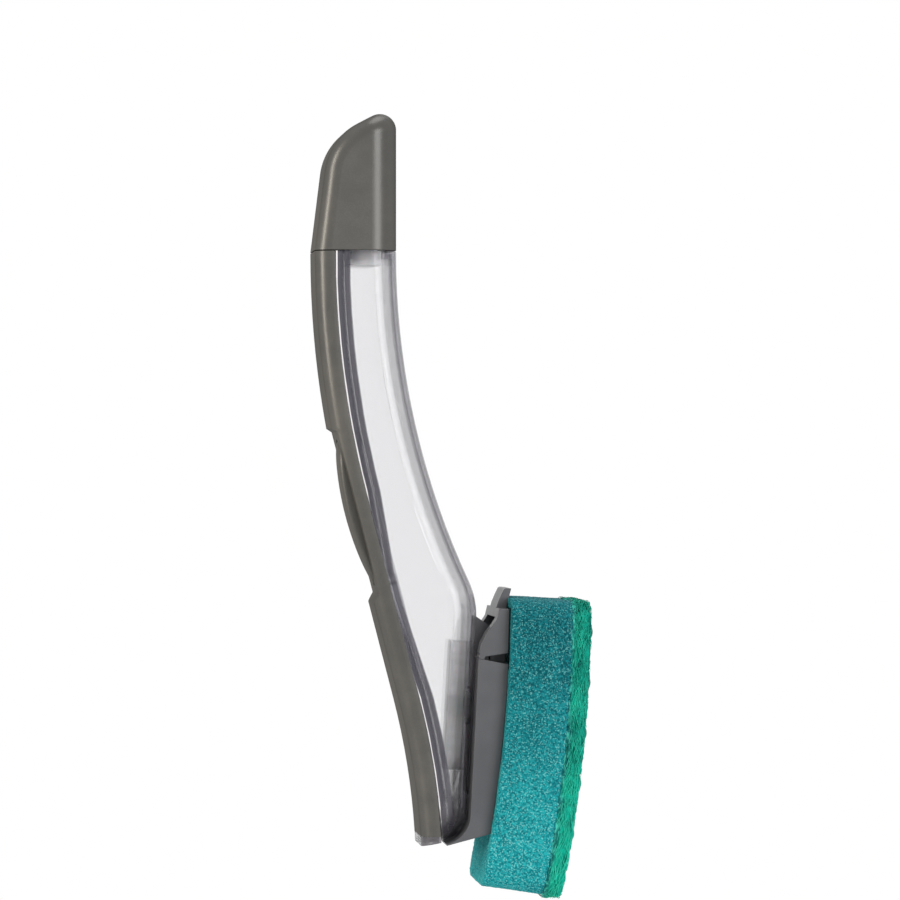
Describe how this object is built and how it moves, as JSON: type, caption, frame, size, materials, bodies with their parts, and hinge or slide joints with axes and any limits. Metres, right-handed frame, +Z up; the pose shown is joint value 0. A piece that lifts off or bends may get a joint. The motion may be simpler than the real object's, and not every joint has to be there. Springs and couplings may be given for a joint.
{
  "type": "dish wand",
  "caption": "Soap dispensing dish wand: clear hollow handle with a grey spine, a pull-off fill cap, a pump button on the back and a slide-on curved sponge head.",
  "frame": {"origin": "middle of the grip, on the handle's mid plane", "axes": "+Z up the handle to the cap, +X towards the sponge, +Y across the handle"},
  "size_m": [0.0851, 0.05, 0.2408],
  "materials": {
    "clear_tank": "clear, polished",
    "handle_grey": "satin",
    "inner_grey": "satin",
    "silicone": "soft, translucent",
    "carrier_grey": "satin",
    "foam_teal": "open cell foam",
    "scour_green": "coarse web",
    "dot_green": "printed resin"
  },
  "bodies": {
    "handle": {"reservoir_shell": "clear_tank", "back_spine": "handle_grey", "diaphragm_clamp": "inner_grey", "button_diaphragm": "silicone", "valve_housing": "inner_grey", "outlet_seal": "silicone", "slit_valve": "silicone", "valve_retainer": "inner_grey", "head_shoe": "carrier_grey"},
    "cap": {"fill_cap": "handle_grey", "cap_plug": "inner_grey", "cap_gasket": "silicone"},
    "button": {"soap_button": "handle_grey"},
    "refill": {"pad_carrier": "carrier_grey", "sponge_foam": "foam_teal", "scour_pad": "scour_green", "scrub_dots": "dot_green"},
    "tab": {"release_tab": "carrier_grey"}
  },
  "joints": [
    {"name": "cap_pull", "type": "slide", "parent": "handle", "child": "cap", "axis": [0, 0, 1], "range_m": [0, 0.03]},
    {"name": "button_press", "type": "slide", "parent": "handle", "child": "button", "axis": [0.9681, 0, 0.2504], "range_m": [0, 0.0025], "stiffness_N_per_m": 3000, "deforming": ["button_diaphragm"]},
    {"name": "refill_slide", "type": "slide", "parent": "handle", "child": "refill", "axis": [-0.0523, 0, -0.9986], "range_m": [0, 0.05]},
    {"name": "tab_press", "type": "hinge", "parent": "refill", "child": "tab", "pos_m": [0.03391, 0, -0.07873], "axis": [0, 1, 0], "range_deg": [0, 5], "stiffness_Nm_per_rad": 1.2}
  ]
}
